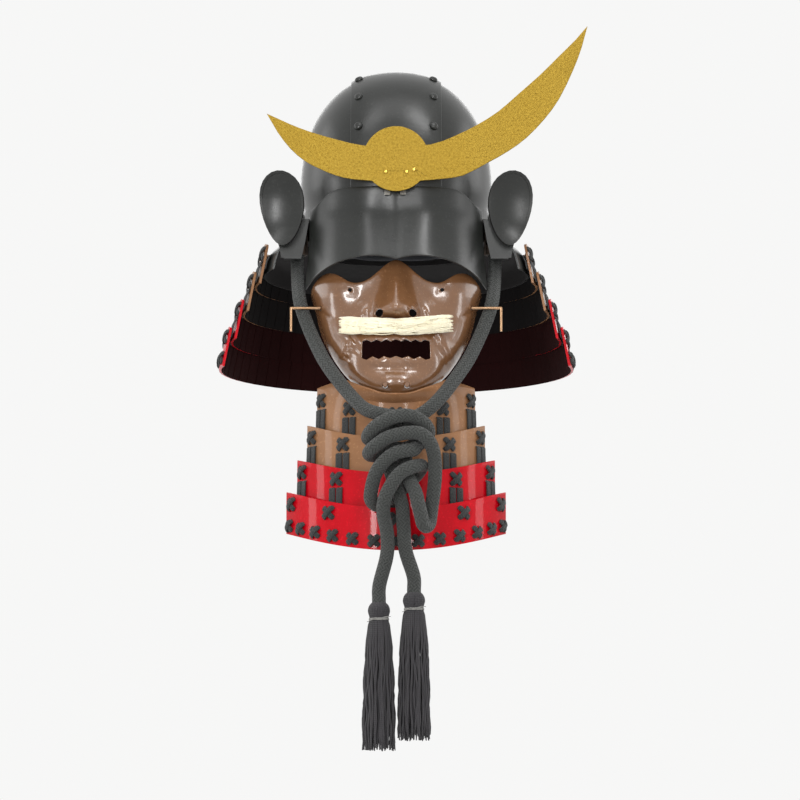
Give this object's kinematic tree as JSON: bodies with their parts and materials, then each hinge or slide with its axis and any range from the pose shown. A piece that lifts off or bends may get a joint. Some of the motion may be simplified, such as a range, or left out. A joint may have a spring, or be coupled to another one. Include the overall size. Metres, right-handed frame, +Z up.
{
  "type": "samurai helmet with face mask",
  "caption": "Riveted iron samurai helmet with a gilt asymmetric crest, laced neck guard, lacquered face mask, laced throat guard and a knotted chin cord with tassels.",
  "frame": {"origin": "centre of the bowl's opening at the height of its rim, where the wearer's head or a stand enters", "axes": "+Z up through the crown, -Y out of the face, +X to the side of the long crest horn"},
  "size_m": [0.3839, 0.4213, 0.7484],
  "materials": {
    "black_lacquer": "satin black lacquer on iron",
    "brown_lacquer": "glossy russet brown lacquer on iron",
    "tan_lacquer": "satin tan lacquer on iron scales",
    "red_lacquer": "glossy vermilion red lacquer on iron scales",
    "gold_leaf": "satin gilt with a fine grain",
    "brass_wire": "polished brass",
    "steel_fitting": "plain brushed steel",
    "cord_black": "braided black cotton cord",
    "lacing_black": "flat black lacing braid",
    "lining_cloth": "quilted dark cotton",
    "moustache_hair": "clipped cream hair",
    "tassel_yarn": "black cotton yarn",
    "pale_thread": "pale binding thread",
    "loop_leather": "black leather"
  },
  "bodies": {
    "helmet": {"front_plate": "black_lacquer", "crown_strip": "black_lacquer", "left_side_plate": "black_lacquer", "right_side_plate": "black_lacquer", "base_band": "black_lacquer", "crown_rivets": "black_lacquer", "band_rivets": "black_lacquer", "lining": "lining_cloth", "crest_holder": "steel_fitting", "left_wing": "black_lacquer", "right_wing": "black_lacquer", "neck_lame_1": "black_lacquer", "neck_lacing_1": "lacing_black", "mask_shell": "brown_lacquer", "chin_pegs": "brown_lacquer", "moustache": "moustache_hair", "mask_hook_left": "brass_wire", "mask_hook_right": "brass_wire", "throat_lame_1": "tan_lacquer", "throat_lacing_1": "lacing_black", "cord_loop_left": "loop_leather", "cord_loop_right": "loop_leather", "chin_cord_left": "cord_black", "chin_cord_right": "cord_black"},
    "crest_body": {"crest": "gold_leaf", "crest_socket": "gold_leaf", "crest_pins": "gold_leaf"},
    "neck_2": {"neck_lame_2": "tan_lacquer", "neck_lacing_2": "lacing_black"},
    "neck_3": {"neck_lame_3": "tan_lacquer", "neck_lacing_3": "lacing_black"},
    "neck_4": {"neck_lame_4": "red_lacquer", "neck_lacing_4": "lacing_black"},
    "neck_5": {"neck_lame_5": "red_lacquer", "neck_lacing_5": "lacing_black"},
    "throat_2": {"throat_lame_2": "tan_lacquer", "throat_lacing_2": "lacing_black"},
    "throat_3": {"throat_lame_3": "red_lacquer", "throat_lacing_3": "lacing_black"},
    "throat_4": {"throat_lame_4": "red_lacquer", "throat_lacing_4": "lacing_black"},
    "tassel_l": {"tassel_left": "tassel_yarn", "tassel_binding_left": "pale_thread"},
    "tassel_r": {"tassel_right": "tassel_yarn", "tassel_binding_right": "pale_thread"}
  },
  "joints": [
    {"name": "crest_lift", "type": "slide", "parent": "helmet", "child": "crest_body", "axis": [0, 0, 1], "range_m": [0, 0.045]},
    {"name": "neck_2_rise", "type": "slide", "parent": "helmet", "child": "neck_2", "axis": [0, 0, 1], "range_m": [0, 0.018]},
    {"name": "neck_3_rise", "type": "slide", "parent": "neck_2", "child": "neck_3", "axis": [0, 0, 1], "range_m": [0, 0.018]},
    {"name": "neck_4_rise", "type": "slide", "parent": "neck_3", "child": "neck_4", "axis": [0, 0, 1], "range_m": [0, 0.018]},
    {"name": "neck_5_rise", "type": "slide", "parent": "neck_4", "child": "neck_5", "axis": [0, 0, 1], "range_m": [0, 0.018]},
    {"name": "throat_2_rise", "type": "slide", "parent": "helmet", "child": "throat_2", "axis": [0, 0, 1], "range_m": [0, 0.012]},
    {"name": "throat_3_rise", "type": "slide", "parent": "throat_2", "child": "throat_3", "axis": [0, 0, 1], "range_m": [0, 0.012]},
    {"name": "throat_4_rise", "type": "slide", "parent": "throat_3", "child": "throat_4", "axis": [0, 0, 1], "range_m": [0, 0.012]},
    {"name": "tassel_l_swing", "type": "hinge", "parent": "helmet", "child": "tassel_l", "pos_m": [-0.017, -0.173, -0.3922], "axis": [1, 0, 0], "range_deg": [-20, 20]},
    {"name": "tassel_r_swing", "type": "hinge", "parent": "helmet", "child": "tassel_r", "pos_m": [0.018, -0.173, -0.3822], "axis": [1, 0, 0], "range_deg": [-20, 20]}
  ]
}
